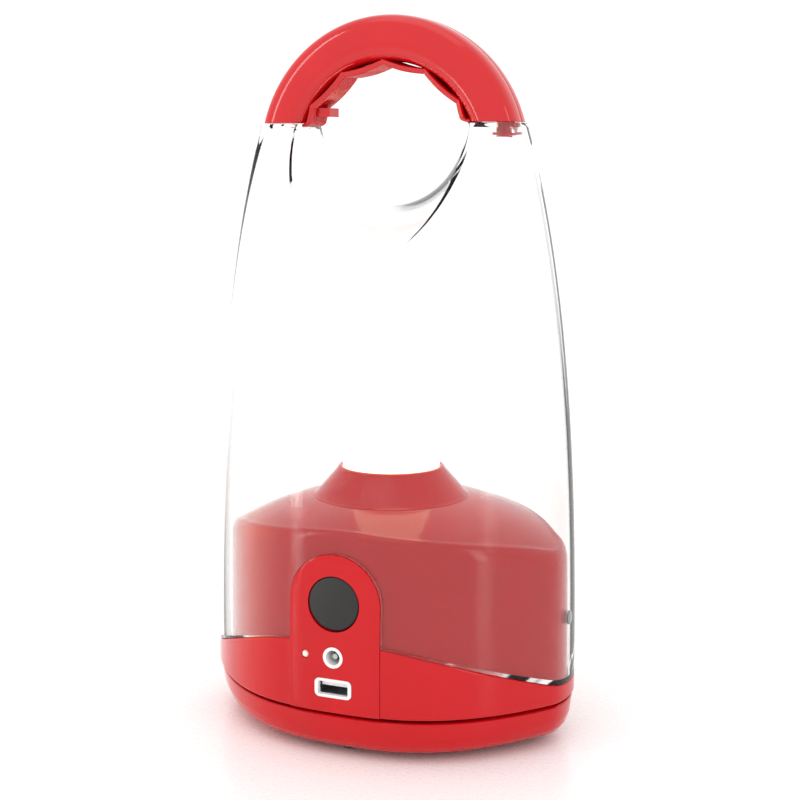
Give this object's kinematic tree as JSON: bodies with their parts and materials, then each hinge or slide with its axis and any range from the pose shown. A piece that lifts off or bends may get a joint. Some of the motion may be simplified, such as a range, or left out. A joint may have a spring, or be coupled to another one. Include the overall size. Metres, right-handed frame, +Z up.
{
  "type": "rechargeable LED area lantern",
  "caption": "Standing area lantern: clear arched cover with a hand opening, lit frosted tube, red base with button and sockets, swing-open handle.",
  "frame": {"origin": "centre of the footprint on the resting plane, below the light tube's axis", "axes": "+X across the wide front towards the handle's pivot, front panel faces -Y, +Z up"},
  "size_m": [0.1512, 0.1084, 0.279],
  "materials": {
    "red_abs": "moulded, high gloss",
    "foot_rubber": "moulded, matt",
    "steel": "zinc plated",
    "clear_cover": "clear moulded polycarbonate, polished",
    "frosted_tube": "frosted, lit from inside",
    "post_aluminium": "extruded",
    "white_board": "white solder mask",
    "led_phosphor": "silicone",
    "cell_wrap": "shrink wrap",
    "black_plastic": "moulded",
    "lead_insulation": "insulation",
    "green_board": "solder mask",
    "white_plastic": "moulded",
    "indicator_lens": "diffused lens",
    "button_black": "fine moulded texture",
    "handle_red": "moulded, gloss",
    "grip_red": "moulded, satin gloss"
  },
  "bodies": {
    "lantern": {"base_tray": "red_abs", "tray_feet": "foot_rubber", "tray_screws": "steel", "main_housing": "red_abs", "front_fascia": "red_abs", "dome_cover": "clear_cover", "cover_screws": "steel", "tube_collar": "red_abs", "collar_screws": "steel", "diffuser_tube": "frosted_tube", "diffuser_cap": "frosted_tube", "led_post": "post_aluminium", "led_boards": "white_board", "led_chips": "led_phosphor", "battery_cells": "cell_wrap", "battery_holder": "black_plastic", "battery_leads": "lead_insulation", "control_board": "green_board", "board_screws": "steel", "tact_switch": "black_plastic", "dc_jack_body": "black_plastic", "dc_jack_bezel": "white_plastic", "dc_jack_pin": "steel", "usb_shell": "steel", "usb_tongue": "white_plastic", "usb_bezel": "white_plastic", "indicator_led": "indicator_lens"},
    "button": {"power_button": "button_black"},
    "handle": {"handle_front_shell": "handle_red", "handle_rear_shell": "handle_red", "grip_insert": "grip_red", "handle_screws": "steel", "pivot_peg": "handle_red", "pivot_retainer": "handle_red"},
    "lock": {"lock_slide": "handle_red", "lock_bolt": "steel"}
  },
  "joints": [
    {"name": "button_press", "type": "slide", "parent": "lantern", "child": "button", "axis": [0, 1, 0], "range_m": [0, 0.0015], "stiffness_N_per_m": 600},
    {"name": "handle_swing", "type": "hinge", "parent": "lantern", "child": "handle", "pos_m": [0.047, 0, 0.24], "axis": [0, 0, 1], "range_deg": [0, 110]},
    {"name": "lock_travel", "type": "slide", "parent": "handle", "child": "lock", "axis": [0, 0, 1], "range_m": [-0.004, 0]}
  ]
}
